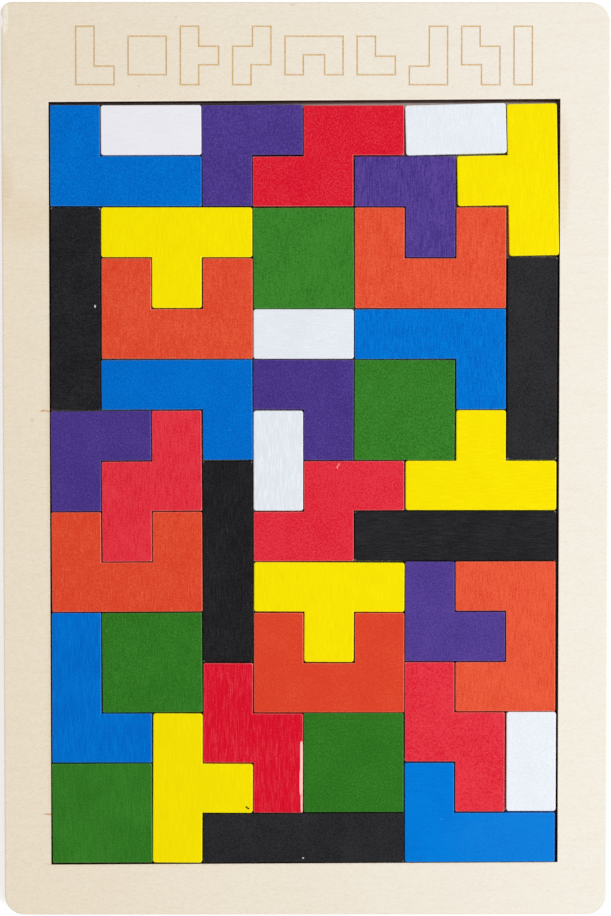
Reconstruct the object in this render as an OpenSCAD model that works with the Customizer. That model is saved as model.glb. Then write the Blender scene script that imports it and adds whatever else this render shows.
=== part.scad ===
// Packing puzzle in a flat wooden tray. The tray is two glued sheets: a plain base sheet,
// and a frame sheet with one rectangular cut-out. Forty painted blocks fill the cut-out,
// each made of two to five square cells, and they lift out by hand.
// The tray lies on z = 0 with the origin under its middle. +X is its width, +Y points to
// the wide margin and +Z is up. Lengths are in millimetres and angles in degrees.

/* [Grid] */
// Side of one square cell of the grid that all blocks share
cell = 15; // [12:0.5:20]
// Play between two neighbouring blocks
play = 0.3; // [0.2:0.05:0.5]
// Spare width and length of the cut-out round the packed blocks
room = 1; // [0.8:0.1:2]

/* [Blocks] */
// Rise of the rows of blocks, and of the cut-out's bottom edge, at the right end
row_rise = 0.3; // [0:0.05:0.3]
// Height of the blocks' tops above the frame sheet
block_proud = 0.2; // [0:0.1:2]
// Softening of the blocks' top and bottom edges
block_edge = 0.35; // [0.2:0.05:0.4]
// Corner radius of most blocks
crisp_corner = 0.5; // [0.45:0.05:1]
// Corner radius of the white and the yellow blocks
round_corner = 0.8; // [0.5:0.05:1.5]

/* [Tray] */
// Thickness of the base sheet
base_t = 3; // [2:0.5:6]
// Thickness of the frame sheet
frame_t = 5; // [3:0.5:8]
// Margin at the left of the cut-out
margin_left = 13.9; // [8:0.1:30]
// Margin at the right of the cut-out
margin_right = 14.7; // [8:0.1:30]
// Margin above the cut-out
margin_top = 29.3; // [15:0.1:45]
// Margin below the cut-out
margin_bottom = 15.5; // [8:0.1:30]
// Rise of the cut-out's top edge from its left end to its right end
top_slant = 0.9; // [0:0.05:1.5]
// Drop of the cut-out's bottom edge at its left end
bottom_drop = 0.45; // [0:0.05:1]
// Radius of three of the tray's corners
tray_corner = 5.8; // [2:0.1:7]
// Radius of the corner at the top left, which is tighter
tight_corner = 3.2; // [1.5:0.1:7]
// Softening of the tray's outer edges, above and below
tray_edge = 0.5; // [0.2:0.1:1]

/* [Nick] */
// Depth of the nick in the tray's left edge
nick_depth = 0.5; // [0.2:0.1:2]
// Length of the nick along the edge
nick_length = 4; // [2:0.5:6]
// Distance of the nick's middle from the tray's top edge
nick_drop = 5.8; // [5:0.1:30]

/* [Hidden] */
$fn = 48;

// The packed tray from above, the wide margin's side first. Each letter is one cell, and
// cells with the same letter are one block.
MAP = [
    "AaaBBCCbbD",
    "AAABCCEEDD",
    "FGGGHHIEID",
    "FJGJHHIIIK",
    "FJJJccLLLK",
    "FMMMNNOOLK",
    "PPQMdNOOUK",
    "PQQRdSSUUU",
    "TQTRSSVVVV",
    "TTTRWWWXYY",
    "ZeeR1W1XXY",
    "Zee21113YY",
    "ZZ42255336",
    "7744255836",
    "7749999888",
];

// Each kind of block: name, colour, corner radius and the letters of its five blocks
KINDS = [
    ["blue_l_block", "dodgerblue", crisp_corner, "ALMZ8"],
    ["white_domino_block", "whitesmoke", round_corner, "abcd6"],
    ["purple_corner_block", "darkslateblue", crisp_corner, "BENPX"],
    ["red_zigzag_block", "crimson", crisp_corner, "CQS23"],
    ["yellow_t_block", "gold", round_corner, "DGUW4"],
    ["orange_u_block", "orangered", crisp_corner, "IJTY1"],
    ["green_square_block", "forestgreen", crisp_corner, "HOe57"],
    ["black_bar_block", "dimgray", crisp_corner, "FKRV9"],
];

// How blocks have settled askew within their play: letter, shift right and shift up as
// shares of the play, and the anticlockwise lean, by that share of the play for each cell
SETTLED = [
    ["A", 0.2, 0.5, 0], ["a", 0, 0.5, 0.2], ["B", -0.3, 0.5, 0.3], ["C", -0.5, 0, 0.1],
    ["E", 0, -0.3, 0], ["F", 0.3, 0, -0.1], ["G", 0, 0.3, 0], ["H", 0, -0.3, 0.25],
    ["I", 0, -0.3, 0], ["J", 0.3, 0.3, 0], ["L", 0, -0.2, 0.2], ["M", 0, 0.3, 0.25],
    ["N", 0, 0, -0.2], ["O", -0.3, -0.2, -0.2], ["P", 0, -0.2, 0.4], ["Q", 0, 0, 0.35],
    ["S", 0, 0, 0.2], ["T", 0.3, 0, 0.2], ["V", 0, 0.3, 0.1], ["W", 0.3, -0.3, -0.2],
    ["X", 0, 0.3, 0], ["Y", 0, 0.3, 0.1], ["e", 0, 0, 0.35], ["1", 0.3, -0.5, 0],
    ["2", 0, -0.35, -0.2], ["3", 0, 0.3, 0], ["4", 0, -0.2, -0.25], ["5", -0.3, 0, 0.1],
    ["7", 0, 0, 0.25], ["8", 0, 0, 0.1], ["9", 0, 0, 0.2],
];

// The same for the blocks that lean into the cut-out's spare room, as shares of that room
LEANING = [
    ["b", -0.05, 0.25, 0.39], ["D", 0.25, 0.3, 0.29], ["K", 0.2, 0.15, -0.03],
    ["U", 0.1, 0.04, 0], ["6", 0.25, 0.2, 0],
];

// Share of the room that lies left of the packed blocks; below them there is none
pack_offset = 0.25;

cols = len(MAP[0]);
rows = len(MAP);
pocket_w = cols * cell + room;
pocket_l = rows * cell + room;
tray_w = margin_left + pocket_w + margin_right;
tray_l = margin_bottom + pocket_l + margin_top;
pocket_x = margin_left - tray_w / 2;
pocket_y = margin_bottom - tray_l / 2;
block_t = frame_t + block_proud;
// Cuts pass this far beyond the faces that they open
overshoot = 1;

// Cells of a block, as [column, row]
function cells(letter) =
    [for (r = [0 : rows - 1], c = [0 : cols - 1]) if (MAP[r][c] == letter) [c, r]];

// Middle of a cell, or of a point between cells, on the tray
function place(p) = [
    pocket_x + pack_offset * room + (p.x + 0.5) * cell,
    pocket_y + (rows - p.y - 0.5) * cell
];

// True when every cell from a to b belongs to the block
function is_filled(letter, a, b) =
    len([for (r = [a.y : b.y], c = [a.x : b.x]) if (MAP[r][c] != letter) 1]) == 0;

// All rectangles inside a block, as pairs of opposite cells
function rectangles(letter) = [
    for (a = cells(letter), b = cells(letter))
        if (b.x >= a.x && b.y >= a.y && is_filled(letter, a, b)) [a, b]
];

function is_inside(p, q) =
    p != q && q[0].x <= p[0].x && q[0].y <= p[0].y && q[1].x >= p[1].x && q[1].y >= p[1].y;

// The largest rectangles of a block, which together cover it
function bars(letter) =
    let (all = rectangles(letter))
    [for (p = all) if (len([for (q = all) if (is_inside(p, q)) 1]) == 0) p];

function mean(points) = [for (s = [for (p = points) 1] * points) s / len(points)];

function rows_of(table, letter) = [for (row = table) if (row[0] == letter) row];

function scaled(row, unit) =
    [row[1] * unit, row[2] * unit, atan(row[3] * unit / cell)];

// Shift right, shift up and lean of a block
function seat(letter) = concat(
    [for (row = rows_of(SETTLED, letter)) scaled(row, play)],
    [for (row = rows_of(LEANING, letter)) scaled(row, room)],
    [[0, 0, 0]]
)[0];

// Section from a middle line at x = 0 out to an outer face at x = r, t high, with its
// outer edges rounded by top and bottom
module half_section(r, t, top, bottom) {
    translate([0, bottom]) square([r - top, t - bottom]);
    square([r - bottom, t - top]);
    translate([0, bottom]) square([r, t - top - bottom]);
    if (top > 0) translate([r - top, t - top]) quarter_disc(top);
    if (bottom > 0) translate([r - bottom, bottom]) mirror([0, 1]) quarter_disc(bottom);
}

module quarter_disc(r) {
    intersection() {
        circle(r);
        square(r);
    }
}

module full_section(w, t, top, bottom) {
    half_section(w / 2, t, top, bottom);
    mirror([1, 0]) half_section(w / 2, t, top, bottom);
}

// A quarter of a plate, with its square inner corner on the Z axis and a round outer one
module plate_quarter(w, l, t, r, top, bottom) {
    translate([0, l - r, 0]) rotate([90, 0, 0])
        linear_extrude(l - r) half_section(w, t, top, bottom);
    rotate([90, 0, 90]) linear_extrude(w - r) half_section(l, t, top, bottom);
    translate([w - r, l - r, 0]) rotate_extrude(angle = 90) half_section(r, t, top, bottom);
}

// A flat bar with round corners and softened edges, centred on the Z axis
module soft_bar(w, l, t, r, edge) {
    rotate([90, 0, 0]) linear_extrude(l - 2 * r, center = true) full_section(w, t, edge, edge);
    rotate([90, 0, 90]) linear_extrude(w - 2 * r, center = true) full_section(l, t, edge, edge);
    for (turn = [0 : 90 : 270]) {
        reach = turn % 180 == 0 ? [w / 2 - r, l / 2 - r, 0] : [l / 2 - r, w / 2 - r, 0];
        rotate(turn) translate(reach) rotate_extrude(angle = 90) half_section(r, t, edge, edge);
    }
}

// One sheet of the tray, with its outline, its softened edges and the nick
module tray_sheet(t, top, bottom) {
    nick_r = (pow(nick_length / 2, 2) + pow(nick_depth, 2)) / (2 * nick_depth);
    difference() {
        union() {
            for (x = [0, 1], y = [0, 1]) {
                r = x == 1 && y == 0 ? tight_corner : tray_corner;
                mirror([x, 0, 0]) mirror([0, y, 0])
                    plate_quarter(tray_w / 2, tray_l / 2, t, r, top, bottom);
            }
        }
        translate([-tray_w / 2 - nick_r + nick_depth, tray_l / 2 - nick_drop, -overshoot])
            cylinder(h = t + 2 * overshoot, r = nick_r);
    }
}

module base_board() {
    color("burlywood") tray_sheet(base_t, 0, tray_edge);
}

module frame_border() {
    color("wheat") translate([0, 0, base_t]) difference() {
        tray_sheet(frame_t, tray_edge, 0);
        translate([pocket_x, pocket_y, -overshoot]) linear_extrude(frame_t + 2 * overshoot)
            polygon([
                [0, -bottom_drop], [pocket_w, row_rise],
                [pocket_w, pocket_l + top_slant], [0, pocket_l]
            ]);
    }
}

// One block in its place on the base sheet
module block(letter, shade, corner) {
    centre = mean(cells(letter));
    middle = place(centre);
    shift = seat(letter);
    rise = row_rise * (centre.x + 0.5) / cols;
    color(shade) translate([middle.x + shift.x, middle.y + shift.y + rise, base_t]) rotate(shift.z)
        union() {
            for (bar = bars(letter)) {
                span = bar[1] - bar[0] + [1, 1];
                translate(place((bar[0] + bar[1]) / 2) - middle)
                    soft_bar(span.x * cell - play, span.y * cell - play, block_t, corner, block_edge);
            }
        }
}

base_board();
frame_border();
for (kind = KINDS, i = [1 : len(kind[3])])
    block(kind[3][i - 1], kind[1], kind[2]);
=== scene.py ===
"""Looks of a block puzzle in its flat wooden tray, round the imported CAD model.

The base sheet and the forty blocks keep their CAD shapes and get plywood and paint.
The frame sheet is replaced by a piece of the same size with a softened cut-out and
shallow engraved outlines in its wide margin. Lengths in the classes are millimetres,
except in the studio, which names its own units.
"""

import logging
import math
from dataclasses import dataclass
from enum import Enum
from functools import cached_property

import bmesh
import bpy
from mathutils import Matrix
from mathutils import Vector

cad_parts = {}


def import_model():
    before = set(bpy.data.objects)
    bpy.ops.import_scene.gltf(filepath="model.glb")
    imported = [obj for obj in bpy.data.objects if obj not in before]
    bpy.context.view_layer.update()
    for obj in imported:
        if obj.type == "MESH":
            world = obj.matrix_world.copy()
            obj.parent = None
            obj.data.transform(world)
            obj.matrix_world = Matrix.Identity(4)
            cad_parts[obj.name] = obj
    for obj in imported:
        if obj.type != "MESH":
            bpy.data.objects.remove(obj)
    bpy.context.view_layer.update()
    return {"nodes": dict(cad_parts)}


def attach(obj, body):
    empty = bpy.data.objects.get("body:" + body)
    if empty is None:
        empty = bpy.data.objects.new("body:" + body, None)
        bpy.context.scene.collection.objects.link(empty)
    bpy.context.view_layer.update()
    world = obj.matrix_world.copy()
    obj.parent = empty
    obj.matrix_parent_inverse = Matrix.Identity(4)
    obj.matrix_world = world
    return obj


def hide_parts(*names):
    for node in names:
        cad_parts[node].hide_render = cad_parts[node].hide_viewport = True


log = logging.getLogger("puzzle")

Tone = tuple[int, int, int]
Linear = tuple[float, float, float, float]
Triple = tuple[float, float, float]
Span = tuple[float, float]
Socket = bpy.types.NodeSocket

MM = 0.001
# How far a pattern moves along X, Y and Z for each unit of its seed
SEED_STEPS = (7.31, 3.77, 5.13)
# What each letter of a paint's name adds to the seed of its blocks
NAME_STEP = 0.37
# Share of a speck's radius that is solid, and how sharply specks are chosen
SPECK_CORE = 0.4
SPECK_CHOICE = 0.001
COAT_ROUGHNESS = 0.3
# Share of each finer layer in the patterns that are rougher than plain noise
COARSE = 0.6
# Distance in metres below which corners are one, and angle below which faces are one
MERGE = 0.5e-6
COPLANAR = math.radians(0.5)
# A face is shaded smooth where the height of its direction lies between these
SMOOTH = (0.02, 0.998)


def paint_tone(red: float, green: float, blue: float) -> Linear:
    """Turns a colour as a screen shows it into the linear one that a shader takes.

    Args:
        red: Red from 0 to 255.
        green: Green from 0 to 255.
        blue: Blue from 0 to 255.

    Returns:
        The linear colour with an alpha of 1.
    """
    linear = []
    for part in (red, green, blue):
        share = part / 255
        linear.append(share / 12.92 if share <= 0.04045 else ((share + 0.055) / 1.055) ** 2.4)
    return (linear[0], linear[1], linear[2], 1.0)


class Shade:
    """A value socket on which Python's operators add Math nodes."""

    def __init__(self, graph: "Graph", socket: Socket) -> None:
        """Wraps a socket of a graph's tree."""
        self.graph = graph
        self.socket = socket

    def _math(self, operation: str, first: "Shade | float", second: "Shade | float" = 0.0) -> "Shade":
        """Adds one Math node and returns its result."""
        node = self.graph.node("ShaderNodeMath", {"operation": operation}, {0: first, 1: second})
        return Shade(self.graph, node.outputs[0])

    def __add__(self, other: "Shade | float") -> "Shade":
        """Adds another value."""
        return self._math("ADD", self, other)

    def __radd__(self, other: float) -> "Shade":
        """Adds this value to a number."""
        return self._math("ADD", other, self)

    def __sub__(self, other: "Shade | float") -> "Shade":
        """Takes another value off this one."""
        return self._math("SUBTRACT", self, other)

    def __rsub__(self, other: float) -> "Shade":
        """Takes this value off a number."""
        return self._math("SUBTRACT", other, self)

    def __mul__(self, other: "Shade | float") -> "Shade":
        """Multiplies by another value."""
        return self._math("MULTIPLY", self, other)

    def __rmul__(self, other: float) -> "Shade":
        """Multiplies a number by this value."""
        return self._math("MULTIPLY", other, self)

    def __truediv__(self, other: "Shade | float") -> "Shade":
        """Divides by another value."""
        return self._math("DIVIDE", self, other)

    def __rtruediv__(self, other: float) -> "Shade":
        """Divides a number by this value."""
        return self._math("DIVIDE", other, self)

    def __abs__(self) -> "Shade":
        """Drops the sign."""
        return self._math("ABSOLUTE", self)

    def sine(self) -> "Shade":
        """Takes the sine of an angle in radians."""
        return self._math("SINE", self)

    def power(self, exponent: float) -> "Shade":
        """Raises to a power."""
        return self._math("POWER", self, exponent)

    def largest(self, other: "Shade | float") -> "Shade":
        """Takes the larger of this and another value."""
        return self._math("MAXIMUM", self, other)

    def smallest(self, other: "Shade | float") -> "Shade":
        """Takes the smaller of this and another value."""
        return self._math("MINIMUM", self, other)

    def ease(self, start: float, end: float) -> "Shade":
        """Rises smoothly from 0 at start to 1 at end, also where end is below start.

        Args:
            start: The value that becomes 0.
            end: The value that becomes 1.

        Returns:
            The eased value.
        """
        settings = {"interpolation_type": "SMOOTHSTEP", "clamp": True}
        values = {0: self, 1: min(start, end), 2: max(start, end), 3: 0.0, 4: 1.0}
        node = self.graph.node("ShaderNodeMapRange", settings, values)
        eased = Shade(self.graph, node.outputs[0])
        return eased if start <= end else 1 - eased


class Graph:
    """The nodes of one material, or of the world."""

    def __init__(self, owner: bpy.types.Material | bpy.types.World) -> None:
        """Empties the owner's nodes.

        Args:
            owner: The material or the world that the nodes are for.
        """
        self.owner = owner
        owner.use_nodes = True
        self.tree = owner.node_tree
        self.tree.nodes.clear()

    @cached_property
    def coordinates(self) -> bpy.types.Node:
        """The node that tells where a point lies."""
        return self.node("ShaderNodeTexCoord")

    @cached_property
    def place(self) -> tuple[Shade, Shade, Shade]:
        """Where a point lies across, along and up the object, in millimetres."""
        return self.axes(self.coordinates.outputs["Object"], 1 / MM)

    @cached_property
    def lean(self) -> tuple[Shade, Shade, Shade]:
        """How far the surface faces along X, Y and Z, from -1 to 1."""
        return self.axes(self.coordinates.outputs["Normal"])

    def node(self, kind: str, settings: dict | None = None, values: dict | None = None) -> bpy.types.Node:
        """Adds a node.

        Args:
            kind: The node's type.
            settings: Its properties, which are set first.
            values: Numbers, colours, shades or sockets, by the input's name or number.

        Returns:
            The new node.
        """
        made = self.tree.nodes.new(kind)
        for name, value in (settings or {}).items():
            setattr(made, name, value)
        for name, value in (values or {}).items():
            if isinstance(value, Shade):
                value = value.socket
            if isinstance(value, Socket):
                self.tree.links.new(value, made.inputs[name])
            else:
                made.inputs[name].default_value = value
        return made

    def axes(self, vector: Socket, scale: float = 1.0) -> tuple[Shade, Shade, Shade]:
        """Splits a vector.

        Args:
            vector: The vector's socket.
            scale: What each of its values is multiplied by.

        Returns:
            The values along X, Y and Z.
        """
        split = self.node("ShaderNodeSeparateXYZ", None, {0: vector})
        shades = [Shade(self, split.outputs[i]) * scale for i in range(3)]
        return shades[0], shades[1], shades[2]

    def spread(self, spacing: Triple, seed: float) -> Socket:
        """Counts object coordinates in steps of the spacing.

        Args:
            spacing: Size of one step along X, Y and Z.
            seed: Moves the pattern, so that pieces differ.

        Returns:
            The vector socket.
        """
        steps = [1 / (MM * step) for step in spacing]
        shift = [seed * step for step in SEED_STEPS]
        values = {0: self.coordinates.outputs["Object"], 1: steps, 2: shift}
        return self.node("ShaderNodeVectorMath", {"operation": "MULTIPLY_ADD"}, values).outputs[0]

    def noise(self, spacing: Triple, seed: float, detail: float = 2.0, rough: float = 0.5) -> Shade:
        """Makes soft noise around 0.5.

        Args:
            spacing: Size of its blotches along X, Y and Z.
            seed: Moves the pattern.
            detail: Number of finer layers.
            rough: Share of each finer layer.

        Returns:
            The noise.
        """
        values = {"Vector": self.spread(spacing, seed), "Scale": 1.0, "Detail": detail, "Roughness": rough}
        return Shade(self, self.node("ShaderNodeTexNoise", None, values).outputs[0])

    def specks(self, spacing: Triple, size: float, seed: float, share: float) -> Shade:
        """Scatters dots.

        Args:
            spacing: Distance between neighbouring dots.
            size: Radius of the largest dot as a share of the spacing.
            seed: Moves the pattern.
            share: Share of the dots that show.

        Returns:
            The mask, 1 inside a dot and 0 outside.
        """
        values = {"Vector": self.spread(spacing, seed), "Scale": 1.0}
        node = self.node("ShaderNodeTexVoronoi", None, values)
        chance = self.axes(node.outputs["Color"])[0]
        dot = Shade(self, node.outputs["Distance"]).ease(size, size * SPECK_CORE)
        hidden = 1 - share
        return dot * chance.ease(hidden, hidden + SPECK_CHOICE)

    def mix(self, amount: Shade, first: Tone | Socket, second: Tone | Socket) -> Socket:
        """Mixes two colours, each one as a screen shows it or a socket.

        Args:
            amount: 0 for the first, 1 for the second.
            first: The first colour.
            second: The second colour.

        Returns:
            The mixed colour's socket.
        """
        pair = [paint_tone(*colour) if isinstance(colour, tuple) else colour for colour in (first, second)]
        values = {0: amount, 6: pair[0], 7: pair[1]}
        return self.node("ShaderNodeMix", {"data_type": "RGBA"}, values).outputs[2]

    def relief(self, height: Shade, distance: float, normal: Socket | None = None) -> Socket:
        """Tilts the surface by a height pattern.

        Args:
            height: The pattern.
            distance: Depth of the pattern's full range.
            normal: The surface direction that it starts from, if it isn't the plain one.

        Returns:
            The tilted direction's socket.
        """
        values = {"Strength": 1.0, "Distance": distance * MM, "Height": height}
        if normal is not None:
            values["Normal"] = normal
        return self.node("ShaderNodeBump", None, values).outputs[0]

    def finish(
        self, colour: Socket, rough: Shade, normal: Socket, gloss: float, coat: Shade | float = 0.0
    ) -> bpy.types.Material:
        """Ends the nodes in a Principled shader.

        Args:
            colour: Base colour.
            rough: Roughness.
            normal: Surface direction.
            gloss: Specular level, the same all over.
            coat: Weight of a smoother coat.

        Returns:
            The material.
        """
        values = {"Base Color": colour, "Roughness": rough, "Normal": normal, "Specular IOR Level": gloss}
        values |= {"Coat Weight": coat, "Coat Roughness": COAT_ROUGHNESS}
        shader = self.node("ShaderNodeBsdfPrincipled", None, values)
        self.node("ShaderNodeOutputMaterial", None, {"Surface": shader.outputs[0]})
        return self.owner

    def seen(self) -> Shade:
        """Tells what the camera sees, also in a mirror or through glass, from what gives light.

        Returns:
            1 for what is seen and 0 for light.
        """
        path = self.node("ShaderNodeLightPath")
        whole = Shade(self, path.outputs["Is Camera Ray"])
        whole = whole.largest(Shade(self, path.outputs["Is Glossy Ray"]))
        return whole.largest(Shade(self, path.outputs["Is Transmission Ray"]))


@dataclass(frozen=True)
class Mark:
    """A mark on a top face, with its middle, its reach along X and Y, and its strength.

    It is an oval that fades from its middle, or with a higher power an even bar with blunt
    ends. It has its full strength inside its core, a share of its reach.
    """

    x: float
    y: float
    half_x: float
    half_y: float
    strength: float
    power: float = 2.0
    core: float = 0.1

    def mask(self, graph: Graph) -> Shade:
        """Draws the mark.

        Args:
            graph: The nodes of the material that shows it.

        Returns:
            The mask, 0 from the mark's rim outwards.
        """
        across, along, _ = graph.place
        from_x = abs(across - self.x) / self.half_x
        from_y = abs(along - self.y) / self.half_y
        reach = from_x.power(self.power) + from_y.power(self.power)
        return reach.ease(1, self.core) * self.strength


def joined(graph: Graph, marks: tuple[Mark, ...]) -> Shade | None:
    """Draws several marks together.

    Args:
        graph: The nodes of the material that shows them.
        marks: The marks.

    Returns:
        The strongest mark at each point, or None where there are no marks.
    """
    whole = None
    for mark in marks:
        single = mark.mask(graph)
        whole = single if whole is None else whole.largest(single)
    return whole


def placed(shape: bmesh.types.BMesh, name: str) -> bpy.types.Object:
    """Turns a finished bmesh into an object of the scene, and frees it.

    Args:
        shape: The bmesh.
        name: Name of the object and of its mesh.

    Returns:
        The object.
    """
    mesh = bpy.data.meshes.new(name)
    shape.to_mesh(mesh)
    shape.free()
    piece = bpy.data.objects.new(name, mesh)
    bpy.context.scene.collection.objects.link(piece)
    return piece


def dress(node: bpy.types.Object, material: bpy.types.Material) -> None:
    """Puts one material on all of a node.

    Args:
        node: The CAD node.
        material: Its material.
    """
    for slot in node.material_slots:
        slot.material = material
    if not node.material_slots:
        node.data.materials.append(material)


class Grain(Enum):
    """Direction of the wood grain that shows through a block's paint, as a step in X and Y."""

    ALONG = (0.32, 4.5)
    ACROSS = (4.5, 0.32)
    HIDDEN = (0.45, 0.6)


@dataclass(frozen=True)
class Block:
    """One block of a kind: its tone, how its grain runs and shows, its rubbed places and painted
    highlights, and its stains.
    """

    tone: float = 0.0
    grain: Grain = Grain.HIDDEN
    streak: float = 1.0
    marks: tuple[Mark, ...] = ()
    stains: tuple[Mark, ...] = ()


@dataclass(frozen=True)
class PaintFinish:
    """Satin paint on wood, thin enough that the grain shows through it.

    Its colours are those of thin and thick paint, of worn places and painted highlights, and of
    stains. Then come the strengths of its mottle, its grain streaks, its rim, which is partly
    edge wear and partly a painted highlight, and its dust, the gloss of its edges and of its
    faces, the wear of its corners and under its dust, and the depth of its grain. Its roughness
    changes with its grit and falls along its edges. The last values are the sizes of its patterns.
    """

    name: str
    pale: Tone
    deep: Tone
    # Colour of worn places, also of the painted highlights on the rims and on one red block's edge
    wear_and_highlight: Tone
    stain: Tone = (20, 16, 14)
    mottle: float = 1.8
    streak: float = 0.9
    rim: float = 0.15
    dust: float = 0.02
    coat: float = 0.5
    gloss: float = 0.05
    corner_wear: float = 0.7
    dust_wear: float = 0.55
    relief_depth: float = 0.018
    rough: float = 0.5
    grit_rough: float = 0.16
    edge_smooth: float = 0.08
    cloud_size: Triple = (9, 11, 9)
    grit_size: Triple = (0.28, 0.29, 0.4)
    fibre_height: float = 0.5
    rim_size: Triple = (2.5, 2.5, 1)
    dust_size: Triple = (5.5, 5.5, 3)
    rub_size: Triple = (0.5, 1.6, 0.5)

    def material(self, number: int, block: Block) -> bpy.types.Material:
        """Makes the paint of one block.

        Args:
            number: The block's number, which moves its patterns.
            block: How this block's wood and paint differ from its neighbours'.

        Returns:
            The material.
        """
        graph = Graph(bpy.data.materials.new(f"{self.name}_{number}"))
        seed = number + len(self.name) * NAME_STEP
        cloud = graph.noise(self.cloud_size, seed)
        grit = graph.noise(self.grit_size, seed, rough=COARSE)
        fibre = graph.noise((*block.grain.value, self.fibre_height), seed + 3, rough=COARSE)
        depth = (grit - 0.5) * (2 * self.mottle) + (fibre - 0.5) * (2 * self.streak * block.streak)
        depth = depth + (cloud - 0.5) * 0.6 + (0.5 + block.tone)
        colour = graph.mix(depth.ease(-0.1, 1.1), self.deep, self.pale)
        tilt = graph.lean[2]
        soft_edge = tilt.ease(0.995, 0.85) * tilt.ease(-0.2, 0.3)
        colour = self.aged(graph, colour, soft_edge, seed)
        colour = self.marked(graph, colour, block, seed)
        rough = self.rough + grit * self.grit_rough - soft_edge * self.edge_smooth
        normal = graph.relief(fibre * 0.6 + grit * 0.4, self.relief_depth)
        return graph.finish(colour, rough, normal, self.gloss, soft_edge * self.coat)

    def aged(self, graph: Graph, colour: Socket, soft_edge: Shade, seed: float) -> Socket:
        """Wears the upper edges, partly as a painted highlight, and the corners, and scatters the dust.

        Args:
            graph: The paint's nodes.
            colour: The paint's colour so far.
            soft_edge: A mask of the block's softened upper edges.
            seed: Moves the patterns.

        Returns:
            The colour with its wear.
        """
        lean_x, lean_y, tilt = graph.lean
        corner = abs(lean_x * lean_y).ease(0.02, 0.14) * tilt.ease(0.1, 0.4)
        rim_noise = graph.noise(self.rim_size, seed + 9)
        # Rim: edge wear and a painted highlight along the softened upper edges, strongest for the yellow,
        # white and orange paints.
        colour = graph.mix(soft_edge * rim_noise * (2 * self.rim), colour, self.wear_and_highlight)
        colour = graph.mix(corner * rim_noise.ease(0.35, 0.65) * self.corner_wear, colour, self.wear_and_highlight)
        dots = graph.specks(self.dust_size, size=0.045, seed=seed, share=self.dust * 6)
        return graph.mix(dots * self.dust_wear, colour, self.wear_and_highlight)

    def marked(self, graph: Graph, colour: Socket, block: Block, seed: float) -> Socket:
        """Adds the block's own rubbed places and painted highlights, and its stains.

        Args:
            graph: The paint's nodes.
            colour: The paint's colour so far.
            block: The block.
            seed: Moves the patterns.

        Returns:
            The colour with the marks.
        """
        # Rubbed places, and on one red block a painted highlight, in the wear colour
        wear_and_highlight = joined(graph, block.marks)
        if wear_and_highlight is not None:
            ragged = graph.noise(self.rub_size, seed + 5, detail=3)
            colour = graph.mix((wear_and_highlight * (ragged * 1.5 + 0.25)).smallest(1), colour, self.wear_and_highlight)
        stained = joined(graph, block.stains)
        if stained is not None:
            colour = graph.mix(stained, colour, self.stain)
        return colour


@dataclass(frozen=True)
class Ply:
    """The layers of a plywood sheet: where the lowest starts, how thick all are, and how many."""

    low: float
    thickness: float
    layers: int


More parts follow.
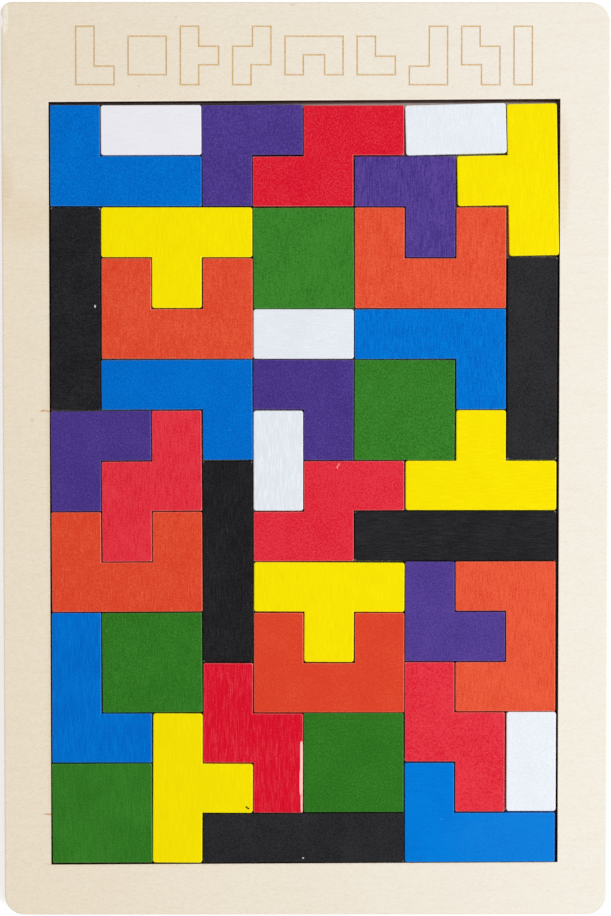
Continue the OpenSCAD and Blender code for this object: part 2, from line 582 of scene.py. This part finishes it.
@dataclass(frozen=True)
class PlywoodFinish:
    """Bare pale plywood with laser-cut edges, burnt dark in the cut-out and sanded outside.

    Its roughness rises with its height pattern. Its veneer is palest at the first value of the
    painted shade span and darker and warmer at its second, a painted shade for the light that
    falls off away from the lamp, and the last values are the sizes of its patterns.
    """

    name: str
    ply: Ply
    pale: Tone = (237, 232, 222)
    # Darker, warmer veneer, reached by the random cloud and by the painted shade towards the left
    warm_and_shaded: Tone = (237, 225, 204)
    fibre: Tone = (216, 200, 174)
    pore: Tone = (205, 185, 155)
    # Pale wood of the flaked chips, also used for the painted highlights on the frame sheet's rim and left
    # edge
    bright: Tone = (252, 246, 235)
    edge_light: Tone = (214, 186, 146)
    edge_dark: Tone = (150, 110, 72)
    singe: Tone = (176, 128, 74)
    toast: Tone = (217, 184, 138)
    scorch: Tone = (190, 126, 38)
    soot: Tone = (150, 142, 138)
    # Dark brown of the laser-charred walls, also the painted shade on the base sheet in the open strips
    char: Tone = (56, 34, 26)
    russet: Tone = (140, 66, 42)
    engraved: Tone = (219, 184, 126)
    # Pale pink painted light for the base sheet in the open strips
    painted_gap_lighting: Tone = (255, 232, 222)
    relief_depth: float = 0.012
    gloss: float = 0.2
    rough: float = 0.62
    height_rough: float = 0.14
    # Painted shade: the veneer is palest at X = 110 mm and darkest and warmest at X = -110 mm
    painted_shade_across: Span = (110, -110)
    cloud_size: Triple = (34, 9, 9)
    figure_size: Triple = (12, 1.6, 2)
    fleck_size: Triple = (0.95, 0.38, 0.4)
    pore_size: Triple = (2.6, 0.5, 1)
    end_size: Triple = (0.5, 0.5, 0.35)
    singe_size: Triple = (14, 14, 3)

    def face(self, graph: Graph) -> tuple[Socket, Shade]:
        """Makes the veneer, with its grain along X and a painted shade that darkens and warms it towards
        the left.

        Args:
            graph: The sheet's nodes.

        Returns:
            The colour and the height pattern.
        """
        cloud = graph.noise(self.cloud_size, seed=1, detail=3)
        figure = graph.noise(self.figure_size, seed=2, rough=COARSE)
        fleck = graph.noise(self.fleck_size, seed=3, rough=COARSE)
        # Painted shade darkening and warming the veneer from right to left, mixed with real cloudy tone;
        # the flecks grow with it
        warmth_and_shade = graph.place[0].ease(*self.painted_shade_across) + (cloud - 0.5) * 0.3
        colour = graph.mix(warmth_and_shade, self.pale, self.warm_and_shaded)
        colour = graph.mix(figure.ease(0.5, 0.8) * 0.14, colour, self.fibre)
        colour = graph.mix(fleck.ease(0.3, 0.8) * (warmth_and_shade * 0.15 + 0.27), colour, self.fibre)
        pores = graph.specks(self.pore_size, size=0.3, seed=4, share=0.16)
        colour = graph.mix(pores * 0.18, colour, self.pore)
        return colour, fleck * 0.5 + figure * 0.5

    def cut(self, graph: Graph) -> Socket:
        """Colours the outer cut edge, with its layers.

        Args:
            graph: The sheet's nodes.

        Returns:
            The colour.
        """
        step = self.ply.thickness / self.ply.layers
        layer = ((graph.place[2] - self.ply.low) * (math.pi / step)).sine()
        rough_end = graph.noise(self.end_size, seed=6, detail=3)
        colour = graph.mix(layer.ease(-0.35, 0.35), self.edge_light, self.edge_dark)
        colour = graph.mix(rough_end.ease(0.45, 0.75) * 0.6, colour, self.edge_light)
        cloud = graph.noise(self.singe_size, seed=7)
        return graph.mix(cloud.ease(0.35, 0.75) * 0.7, colour, self.singe)

    def wood(self, graph: Graph) -> tuple[Socket, Shade, Shade]:
        """Makes the whole sheet's wood.

        Args:
            graph: The sheet's nodes.

        Returns:
            The colour, the height pattern and a mask of the upright sides.
        """
        colour, height = self.face(graph)
        upright = abs(graph.lean[2]).ease(0.3, 0.05)
        return graph.mix(upright, colour, self.cut(graph)), height, upright

    def finished(self, graph: Graph, colour: Socket, height: Shade, normal: Socket) -> bpy.types.Material:
        """Ends the sheet's nodes, rougher where its height pattern is high."""
        return graph.finish(colour, self.rough + height * self.height_rough, normal, self.gloss)


@dataclass(frozen=True)
class Pocket:
    """The cut-out's outline as the CAD frame sheet has it, a rectangle with slanted ends.

    The slack is how far off a corner of the mesh may lie, and the ends' slack covers the slants.
    """

    low: Span = (-75.9, -119.9)
    high: Span = (75.1, 106.1)
    top_slant: float = 0.9
    bottom_drop: float = 0.45
    bottom_slant: float = 0.75
    slack: float = 0.01
    end_slack: float = 1.0

    def outside(self, graph: Graph) -> Shade:
        """Measures from the outline.

        Args:
            graph: The nodes of the material that needs it.

        Returns:
            How far a point lies outside the outline, below 0 inside it.
        """
        across, along, _ = graph.place
        middle = (self.low[0] + self.high[0]) / 2
        width = self.high[0] - self.low[0]
        share = (across - self.low[0]) / width
        from_x = abs(across - middle) - width / 2
        from_top = along - share * self.top_slant - self.high[1]
        from_bottom = self.low[1] - self.bottom_drop + share * self.bottom_slant - along
        return from_x.largest(from_top).largest(from_bottom)

    def is_rim(self, edge: bmesh.types.BMEdge, top: float) -> bool:
        """Tells the edges between the cut-out's wall and the sheet's top face from others.

        Args:
            edge: An edge of the frame sheet.
            top: Height of the top face.

        Returns:
            True for an edge of the cut-out's rim.
        """
        for vert in edge.verts:
            x, y, z = vert.co / MM
            inside_x = self.low[0] - self.slack <= x <= self.high[0] + self.slack
            inside_y = self.low[1] - self.end_slack <= y <= self.high[1] + self.end_slack
            if abs(z - top) > self.slack or not inside_x or not inside_y:
                return False
        return len(edge.link_faces) == 2 and edge.calc_face_angle() > 1


class Outline(Enum):
    """The engraved figures, from left to right, as rows of cells."""

    ELL = ("X.", "X.", "XX")
    SQUARE = ("XX", "XX")
    TEE = ("X.", "XX", "X.")
    ZIGZAG = (".X", "XX", "X.")
    ARCH = ("XXX", "X.X")
    CORNER = ("X.", "XX")
    HOOK = (".X", ".X", "XX")
    STEP = ("X.", "XX", ".X")
    BAR = ("X", "X", "X")


@dataclass(frozen=True)
class Engraving:
    """The row of engraved outlines in the wide margin.

    The two spans tell how far from its middle the row's tint starts and is full.
    """

    middle: Span = (-0.55, 119.7)
    length: float = 135.0
    cell: float = 5.85
    line: float = 0.44
    depth: float = 0.16
    tint_across: Span = (69.5, 69)
    tint_along: Span = (10.5, 10)

    def mask(self, graph: Graph) -> Shade:
        """Marks the margin's part that the row takes up.

        Args:
            graph: The frame sheet's nodes.

        Returns:
            The mask.
        """
        across, along, _ = graph.place
        near = abs(along - self.middle[1]).ease(*self.tint_along)
        return near * abs(across - self.middle[0]).ease(*self.tint_across)

    def cutter(self, top: float) -> bpy.types.Object:
        """Makes the tool that cuts the outlines, one closed ring for each.

        Args:
            top: Height of the face that it cuts.

        Returns:
            The tool.
        """
        shape = bmesh.new()
        widths = [len(outline.value[0]) for outline in Outline]
        gap = (self.length - sum(widths) * self.cell) / (len(widths) - 1)
        left = self.middle[0] - self.length / 2
        for outline, width in zip(Outline, widths):
            self.add_ring(shape, outline, left, top)
            left += width * self.cell + gap
        bmesh.ops.recalc_face_normals(shape, faces=shape.faces)
        return placed(shape, "engraving")

    def add_ring(self, shape: bmesh.types.BMesh, outline: Outline, left: float, top: float) -> None:
        """Adds the ring of one outline.

        Args:
            shape: The mesh to add it to.
            outline: The figure.
            left: Where the figure starts along X.
            top: Height of the face that it cuts.
        """
        single = bmesh.new()
        rows = outline.value
        foot = self.middle[1] - len(rows) * self.cell / 2
        for row, text in enumerate(reversed(rows)):
            for column, letter in enumerate(text):
                if letter == "X":
                    x = left + (column + 0.5) * self.cell
                    y = foot + (row + 0.5) * self.cell
                    place = Matrix.Translation(Vector((x, y, top - self.depth)) * MM)
                    half = self.cell * MM / 2
                    bmesh.ops.create_grid(single, x_segments=1, y_segments=1, size=half, matrix=place)
        bmesh.ops.remove_doubles(single, verts=single.verts, dist=MERGE)
        bmesh.ops.dissolve_limit(single, angle_limit=COPLANAR, verts=single.verts, edges=single.edges)
        figure = single.faces[:]
        bmesh.ops.inset_region(
            single, faces=figure, thickness=self.line * MM, use_boundary=True, use_even_offset=True
        )
        bmesh.ops.delete(single, geom=figure, context="FACES")
        raised = bmesh.ops.extrude_face_region(single, geom=single.faces[:])
        tops = [item for item in raised["geom"] if isinstance(item, bmesh.types.BMVert)]
        bmesh.ops.translate(single, verts=tops, vec=(0, 0, 2 * self.depth * MM))
        mesh = bpy.data.meshes.new("ring")
        single.to_mesh(mesh)
        single.free()
        shape.from_mesh(mesh)
        bpy.data.meshes.remove(mesh)


@dataclass(frozen=True)
class FrameSheet:
    """The frame sheet's detailed piece, with its height, its softened rim and its marks.

    Depths count down from the top face, and a span's two values are where a mask starts and
    where it is full. The strengths are those of the haze, of the painted highlight on the
    cut-out's right and top rim and of the painted highlight on the rounded left edge, and the
    last values are the sizes of the patterns.
    """

    finish: PlywoodFinish = PlywoodFinish("frame_plywood", Ply(3, 5, 5))
    pocket: Pocket = Pocket()
    engraving: Engraving = Engraving()
    top: float = 8.0
    rim: float = 0.15
    scorches: tuple[Mark, ...] = (
        Mark(-77.0, 15.0, 2.4, 0.45, 1.0),
        Mark(-76.4, -105.2, 2.2, 0.4, 0.9),
        Mark(-76.9, -120.2, 1.8, 0.5, 0.35),
        Mark(-38.2, 131.0, 0.5, 0.35, 0.6),
        Mark(-49.2, 110.7, 0.4, 0.3, 0.5),
        Mark(-3.8, 134.7, 1.2, 0.5, 0.3),
    )
    toasts: tuple[Mark, ...] = (
        Mark(-90.6, 79.5, 5.5, 16.5, 0.6, core=-0.2),
        Mark(-84.5, 72.0, 13.0, 9.0, 0.28),
        Mark(-90.2, 118.0, 3.0, 10.0, 0.25),
        Mark(75.9, 86.0, 2.6, 22.0, 0.35),
        Mark(-76.1, 5.0, 1.3, 40.0, 0.25),
        Mark(-76.1, -75.0, 1.2, 45.0, 0.2),
    )
    smudge: Mark = Mark(-81.1, 12.3, 0.9, 0.8, 0.22)
    chips: tuple[Mark, ...] = (
        Mark(-88.3, 130.8, 0.8, 4.2, 0.65, power=4.0),
        Mark(-88.6, 127.6, 0.8, 1.8, 0.6),
    )
    crown_depth: Span = (0.7, 0.5)
    groove_depth: Span = (0.02, 0.08)
    russet_depth: float = 1.2
    streak_relief: float = 0.05
    lit_across: Span = (70, 75)
    lit_along: Span = (100, 106)
    hazy: float = 0.3
    rim_highlight_strength: float = 0.3
    left_highlight_strength: float = 0.8
    haze_size: Triple = (3, 3, 3)
    toast_size: Triple = (5, 0.5, 1)
    flake_size: Triple = (0.9, 1.3, 1)
    scorch_size: Triple = (1.5, 0.4, 1)
    groove_size: Triple = (0.55, 0.55, 1)
    streak_size: Triple = (0.35, 0.35, 5)

    def aged(self, graph: Graph, colour: Socket, beyond: Shade, crown: Shade) -> Socket:
        """Adds the haze of the laser's heat, a painted highlight on the cut-out's right and top rim
        and a painted highlight that lightens the shade on the rounded left edge.

        Args:
            graph: The sheet's nodes.
            colour: The sheet's colour so far.
            beyond: Distance outside the cut-out.
            crown: A mask of the top face.

        Returns:
            The colour with its age.
        """
        across, along, _ = graph.place
        wander = graph.noise(self.haze_size, seed=11, detail=3, rough=COARSE)
        haze = beyond.ease(1.0, 0.1) * wander.ease(0.3, 0.85) * crown
        colour = graph.mix(haze * self.hazy, colour, self.finish.toast)
        # Painted highlight: the cut-out's rim on the right and top sides is lightened towards pale wood.
        lit_side = across.ease(*self.lit_across).largest(along.ease(*self.lit_along))
        painted_rim_highlight = beyond.ease(0.8, 0.25) * lit_side * crown
        colour = graph.mix(painted_rim_highlight * self.rim_highlight_strength, colour, self.finish.bright)
        patchy = graph.noise(self.toast_size, seed=16, detail=3).ease(0.1, 0.75)
        toasted = joined(graph, self.toasts) * patchy * crown
        colour = graph.mix(toasted, colour, self.finish.toast)
        lean_x, _, tilt = graph.lean
        # Painted highlight: the rounded outer edge that faces left, away from the lamp, is lightened
        # towards pale wood to offset its shade.
        painted_left_highlight = tilt.ease(0.99, 0.85) * lean_x.ease(-0.1, -0.4) * beyond.ease(5, 6)
        return graph.mix(painted_left_highlight * self.left_highlight_strength, colour, self.finish.bright)

    def marked(self, graph: Graph, colour: Socket, crown: Shade) -> Socket:
        """Adds the smudge, the chips at the corner and the scorches.

        Args:
            graph: The sheet's nodes.
            colour: The sheet's colour so far.
            crown: A mask of the top face.

        Returns:
            The colour with the marks.
        """
        colour = graph.mix(self.smudge.mask(graph) * crown, colour, self.finish.soot)
        flaky = graph.noise(self.flake_size, seed=15).ease(0.25, 0.6)
        colour = graph.mix(joined(graph, self.chips) * flaky * crown, colour, self.finish.bright)
        ragged = graph.noise(self.scorch_size, seed=12, detail=3).ease(0.25, 0.7)
        return graph.mix(joined(graph, self.scorches) * ragged * crown, colour, self.finish.scorch)

    def tinted(self, graph: Graph, colour: Socket, crown: Shade) -> Socket:
        """Browns the engraved lines.

        Args:
            graph: The sheet's nodes.
            colour: The sheet's colour so far.
            crown: A mask of the top face.

        Returns:
            The colour with the lines.
        """
        pulse = graph.noise(self.groove_size, seed=14, detail=1).ease(0.25, 0.6) * 0.6 + 0.4
        shallow, deep = self.groove_depth
        sunk = graph.place[2].ease(self.top - shallow, self.top - deep)
        groove = sunk * crown * self.engraving.mask(graph) * pulse
        return graph.mix(groove, colour, self.finish.engraved)

    def material(self) -> bpy.types.Material:
        """Makes the sheet's plywood, with its marks, its engraving and its burnt cut-out.

        Returns:
            The material.
        """
        graph = Graph(bpy.data.materials.new(self.finish.name))
        colour, height, upright = self.finish.wood(graph)
        up = graph.place[2]
        lowest, full = self.crown_depth
        crown = up.ease(self.top - lowest, self.top - full)
        beyond = self.pocket.outside(graph)
        colour = self.aged(graph, colour, beyond, crown)
        colour = self.marked(graph, colour, crown)
        colour = self.tinted(graph, colour, crown)
        darkening = upright * beyond.ease(0.5, 0.35)
        streaks = graph.noise(self.streak_size, seed=13, detail=3)
        russet = streaks.ease(0.3, 0.8) * 0.5 + up.ease(self.top - self.russet_depth, self.top) * 0.6
        char = graph.mix(russet, self.finish.char, self.finish.russet)
        colour = graph.mix(darkening, colour, char)
        normal = graph.relief(height, self.finish.relief_depth)
        normal = graph.relief(streaks * darkening, self.streak_relief, normal)
        return self.finish.finished(graph, colour, height, normal)

    def softened(self, node: bpy.types.Object) -> bpy.types.Object:
        """Copies the CAD sheet and softens the cut-out's upper edge.

        Args:
            node: The CAD frame sheet.

        Returns:
            The new piece.
        """
        shape = bmesh.new()
        shape.from_mesh(node.data)
        bmesh.ops.remove_doubles(shape, verts=shape.verts, dist=MERGE)
        bmesh.ops.dissolve_limit(shape, angle_limit=COPLANAR, verts=shape.verts, edges=shape.edges)
        bmesh.ops.bevel(
            shape,
            geom=[edge for edge in shape.edges if self.pocket.is_rim(edge, self.top)],
            offset=self.rim * MM,
            segments=2,
            profile=0.5,
            affect="EDGES",
            material=-1,
        )
        return placed(shape, "frame_sheet")

    def engrave(self, piece: bpy.types.Object) -> None:
        """Cuts the outlines into the piece and keeps the result as its mesh.

        Args:
            piece: The frame piece.
        """
        cutter = self.engraving.cutter(self.top)
        cut = piece.modifiers.new("engraving", "BOOLEAN")
        cut.operation = "DIFFERENCE"
        cut.solver = "EXACT"
        cut.object = cutter
        evaluated = piece.evaluated_get(bpy.context.evaluated_depsgraph_get())
        mesh = bpy.data.meshes.new_from_object(evaluated)
        piece.modifiers.remove(cut)
        piece.data = mesh
        bpy.data.objects.remove(cutter)
        for face in mesh.polygons:
            face.use_smooth = SMOOTH[0] < abs(face.normal.z) < SMOOTH[1]

    def build(self, nodes: dict[str, bpy.types.Object]) -> None:
        """Builds the piece and dresses it.

        Args:
            nodes: The CAD nodes by name.
        """
        piece = self.softened(nodes["frame_border"])
        self.engrave(piece)
        piece.data.materials.clear()
        piece.data.materials.append(self.material())
        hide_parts("frame_border")
        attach(piece, "root")
        log.info("frame sheet: %d faces", len(piece.data.polygons))


@dataclass(frozen=True)
class BaseSheet:
    """The CAD base sheet, which shows in the open strips beside and above the blocks.

    A span's two values are where a mask starts and where it is full: those of the strips,
    of the sheet's top face, and of the painted shade at the strips' left end and at the wall's foot.
    """

    finish: PlywoodFinish = PlywoodFinish("base_plywood", Ply(0, 3, 3))
    pocket: Pocket = Pocket()
    strip_across: Span = (73.8, 74.2)
    strip_along: Span = (104.6, 105.0)
    skin: Span = (2.6, 2.9)
    painted_shade_end: Span = (12, -20)
    painted_shade_foot: Span = (-0.5, -0.25)

    def material(self) -> bpy.types.Material:
        """Makes the sheet's plywood, with painted light in the open strips and painted shade at
        their left end and at the foot of the wall.

        Returns:
            The material.
        """
        graph = Graph(bpy.data.materials.new(self.finish.name))
        colour, height, _ = self.finish.wood(graph)
        across, along, up = graph.place
        beyond = self.pocket.outside(graph)
        strips = across.ease(*self.strip_across).largest(along.ease(*self.strip_along))
        # Painted light and shade in the open strips: a pale pink that lightens the base beyond its wood
        # colour, darkened to dark brown at the strips' narrow left end and at the foot of the wall.
        open_part = beyond.ease(0.2, -0.2) * strips * up.ease(*self.skin)
        darkening = (across.ease(*self.painted_shade_end) * 0.85).largest(beyond.ease(*self.painted_shade_foot) * 0.9)
        painted_gap_lighting = graph.mix(darkening, self.finish.painted_gap_lighting, self.finish.char)
        colour = graph.mix(open_part, colour, painted_gap_lighting)
        return self.finish.finished(graph, colour, height, graph.relief(height, self.finish.relief_depth))

    def build(self, nodes: dict[str, bpy.types.Object]) -> None:
        """Dresses the sheet.

        Args:
            nodes: The CAD nodes by name.
        """
        dress(nodes["base_board"], self.material())
        log.info("base sheet dressed")


@dataclass(frozen=True)
class BlockKind:
    """Five blocks of one shape and colour."""

    node: str
    paint: PaintFinish
    blocks: tuple[Block, ...]

    def build(self, nodes: dict[str, bpy.types.Object]) -> None:
        """Paints the five blocks.

        Args:
            nodes: The CAD nodes by name.
        """
        for number, block in enumerate(self.blocks, 1):
            dress(nodes[f"{self.node}_{number}"], self.paint.material(number, block))
        log.info("%s: %d blocks painted", self.node, len(self.blocks))


def block_kinds() -> tuple[BlockKind, ...]:
    """Lists the kinds of block with their paints and with each block's own looks.

    Returns:
        The eight kinds.
    """
    blue = PaintFinish("blue_paint", (0, 124, 217), (0, 96, 191), (90, 170, 235), dust=0.03, gloss=0.02)
    white = PaintFinish(
        "white_paint",
        (237, 242, 248),
        (222, 227, 235),
        (252, 253, 254),
        stain=(240, 233, 240),
        mottle=1.0,
        streak=0.7,
        rim=0.5,
        dust=0,
    )
    purple = PaintFinish("purple_paint", (92, 69, 155), (63, 45, 124), (140, 120, 190))
    red = PaintFinish("red_paint", (229, 60, 73), (212, 3, 38), (252, 198, 187))
    yellow = PaintFinish(
        "yellow_paint",
        (249, 231, 0),
        (240, 218, 0),
        (255, 244, 30),
        mottle=0.85,
        rim=0.8,
        dust=0,
        gloss=0.02,
    )
    orange = PaintFinish(
        "orange_paint",
        (233, 95, 62),
        (214, 60, 34),
        (246, 150, 120),
        mottle=1.5,
        streak=0.7,
        rim=0.3,
        dust=0,
        coat=1.0,
    )
    green = PaintFinish("green_paint", (62, 133, 45), (36, 104, 20), (120, 178, 100))
    black = PaintFinish(
        "black_paint",
        (48, 47, 50),
        (17, 16, 18),
        (206, 204, 206),
        mottle=1.35,
        streak=0.7,
        rim=0,
        coat=0.1,
    )
    along = Grain.ALONG
    across = Grain.ACROSS
    scratch = (Mark(9.8, -0.95, 0.24, 0.6, 0.5), Mark(9.34, -1.7, 0.24, 0.6, 0.5))
    # Painted highlight: a pale streak along a red block's right edge, standing for the lamp's reflection
    # on the rounded edge.
    painted_edge_highlight = (
        Mark(-1.28, -88.9, 0.42, 5.8, 1.2, 6.0, 0.4),
        Mark(-1.36, -95.6, 0.56, 4.6, 1.2, 3.0, 0.3),
        Mark(-1.2, -101.2, 0.42, 4.4, 0.8, 3.0, 0.2),
    )
    warmed = (Mark(-45.5, 97.9, 40.0, 40.0, 0.5, core=0.9),)
    speck = (Mark(-17.62, -103.06, 0.46, 0.34, 1.1), Mark(-17.16, -103.44, 0.46, 0.34, 1.1))
    bloom = (Mark(66.0, -112.0, 30.0, 14.0, 0.035),)
    chip = (Mark(-62.3, 45.9, 0.28, 0.5, 2.4),)
    dot = (Mark(-0.8, -118.3, 0.35, 0.3, 0.9),)
    return (
        BlockKind(
            "blue_l_block",
            blue,
            (
                Block(-0.1),
                Block(0, along, 1.6),
                Block(-0.15),
                Block(-0.1, along),
                Block(0.4, across, 0.5, marks=bloom),
            ),
        ),
        BlockKind(
            "white_domino_block",
            white,
            (
                Block(0, across, stains=warmed),
                Block(-0.1, along),
                Block(-0.2, across),
                Block(-0.35, along, 3),
                Block(0),
            ),
        ),
        BlockKind(
            "purple_corner_block",
            purple,
            (Block(-0.15), Block(0, along, 1.6), Block(-0.3), Block(-0.3), Block(0)),
        ),
        BlockKind(
            "red_zigzag_block",
            red,
            (
                Block(-0.3),
                Block(0.15, along),
                Block(0, marks=scratch),
                Block(-0.45, along, 1.8, marks=painted_edge_highlight),
                Block(0.1),
            ),
        ),
        BlockKind(
            "yellow_t_block",
            yellow,
            (
                Block(-0.1, along),
                Block(0.1, along),
                Block(-0.1, across),
                Block(0, along),
                Block(-0.2, along, stains=speck),
            ),
        ),
        BlockKind(
            "orange_u_block",
            orange,
            (
                Block(0, along),
                Block(-0.1, along),
                Block(-0.25, along),
                Block(0.1, along, 1.2),
                Block(-0.4),
            ),
        ),
        BlockKind(
            "green_square_block",
            green,
            (
                Block(0.2, along, 0.8),
                Block(0),
                Block(-0.2, along, 0.7),
                Block(-0.3),
                Block(-0.15, along, 0.6),
            ),
        ),
        BlockKind(
            "black_bar_block",
            black,
            (
                Block(-0.15, across, 0.5, marks=chip),
                Block(0.1),
                Block(-0.25, along),
                Block(-0.15, across),
                Block(0, marks=dot),
            ),
        ),
    )


@dataclass(frozen=True)
class Studio:
    """The floor, the light and the camera.

    The camera's place is in millimetres and its tilt in degrees. The lamp's and the
    floor's lengths are metres.
    """

    camera_place: Triple = (-1.05, 22.43, 656.9)
    camera_tilt: Triple = (1.889, 0.085, 0.004)
    lens: float = 86.07
    nearest: float = 0.01
    key_place: Triple = (0.64, -0.05, 0.82)
    key_size: float = 0.9
    key_power: float = 8.35
    key_colour: Triple = (0.97, 0.99, 1.0)
    ambient: Linear = (0.545, 0.535, 0.525, 1.0)
    white: Linear = (1.0, 1.0, 1.0, 1.0)
    floor_tone: Linear = (0.8, 0.8, 0.8, 1.0)
    floor_reach: float = 4.0
    floor_glow: float = 0.48
    floor_fade: Span = (0.2, 1.5)

    def camera(self) -> None:
        """Makes the camera that looks down on the tray."""
        data = bpy.data.cameras.new("camera")
        data.lens = self.lens
        data.clip_start = self.nearest
        camera = bpy.data.objects.new("camera", data)
        turn = Matrix.Identity(4)
        for tilt, axis in zip(self.camera_tilt, "XYZ"):
            turn = turn @ Matrix.Rotation(math.radians(-tilt), 4, axis)
        camera.matrix_world = Matrix.Translation(Vector(self.camera_place) * MM) @ turn
        bpy.context.scene.collection.objects.link(camera)
        bpy.context.scene.camera = camera

    def lamp(self) -> None:
        """Makes the large soft lamp at the upper right."""
        data = bpy.data.lights.new("key", "AREA")
        data.size = self.key_size
        data.energy = self.key_power
        data.color = self.key_colour
        lamp = bpy.data.objects.new("key", data)
        place = Vector(self.key_place)
        lamp.matrix_world = Matrix.Translation(place) @ place.to_track_quat("Z", "Y").to_matrix().to_4x4()
        bpy.context.scene.collection.objects.link(lamp)

    def world(self) -> None:
        """Lights the object evenly from all round, and shows white behind it."""
        world = bpy.data.worlds.new("studio")
        bpy.context.scene.world = world
        graph = Graph(world)
        light = graph.node("ShaderNodeBackground", None, {"Color": self.ambient})
        white = graph.node("ShaderNodeBackground", None, {"Color": self.white})
        values = {0: graph.seen(), 1: light.outputs[0], 2: white.outputs[0]}
        shown = graph.node("ShaderNodeMixShader", None, values)
        graph.node("ShaderNodeOutputWorld", None, {"Surface": shown.outputs[0]})

    def floor(self) -> None:
        """Makes the pale floor, which looks white but keeps the tray's shadow."""
        shape = bmesh.new()
        bmesh.ops.create_grid(shape, x_segments=1, y_segments=1, size=self.floor_reach)
        floor = placed(shape, "floor")
        graph = Graph(bpy.data.materials.new("floor"))
        across, along, _ = graph.axes(graph.coordinates.outputs["Object"])
        away = (across * across + along * along).power(0.5)
        strength = graph.seen() * (self.floor_glow + away.ease(*self.floor_fade) * (1 - self.floor_glow))
        glow = graph.node("ShaderNodeEmission", None, {"Color": self.white, "Strength": strength})
        matt = graph.node("ShaderNodeBsdfDiffuse", None, {"Color": self.floor_tone})
        both = graph.node("ShaderNodeAddShader", None, {0: glow.outputs[0], 1: matt.outputs[0]})
        graph.node("ShaderNodeOutputMaterial", None, {"Surface": both.outputs[0]})
        floor.data.materials.append(graph.owner)

    def build(self) -> None:
        """Makes the whole studio and sets the plain view."""
        self.camera()
        self.lamp()
        self.world()
        self.floor()
        bpy.context.scene.view_settings.view_transform = "Standard"
        log.info("studio ready")


def main() -> None:
    """Builds the puzzle's looks round the CAD model."""
    logging.basicConfig(level=logging.INFO, format="%(name)s: %(message)s")
    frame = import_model()
    Studio().build()
    FrameSheet().build(frame["nodes"])
    BaseSheet().build(frame["nodes"])
    for kind in block_kinds():
        kind.build(frame["nodes"])


if __name__ == "__main__":
    main()
